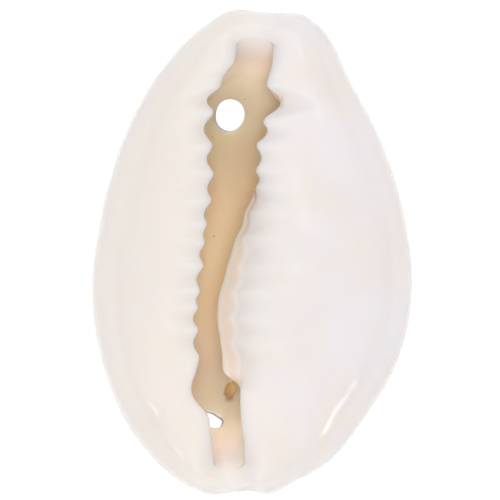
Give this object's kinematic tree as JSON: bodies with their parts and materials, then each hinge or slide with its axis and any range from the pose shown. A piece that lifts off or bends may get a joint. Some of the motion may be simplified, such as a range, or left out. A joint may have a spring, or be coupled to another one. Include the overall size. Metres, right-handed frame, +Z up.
{
  "type": "cowrie shell",
  "caption": "Small bleached cowrie shell with a long toothed mouth, drilled through its back near both ends for stringing, lying on its back.",
  "frame": {"origin": "on the surface the shell lies on, under the middle of its outline", "axes": "+Y along the shell towards its narrow front end, +Z up out of the mouth, +X towards the inner lip's side"},
  "size_m": [0.0146, 0.022, 0.0104],
  "materials": {
    "shell": "gloss"
  },
  "bodies": {
    "root": {"cowrie_shell": "shell"}
  },
  "joints": []
}
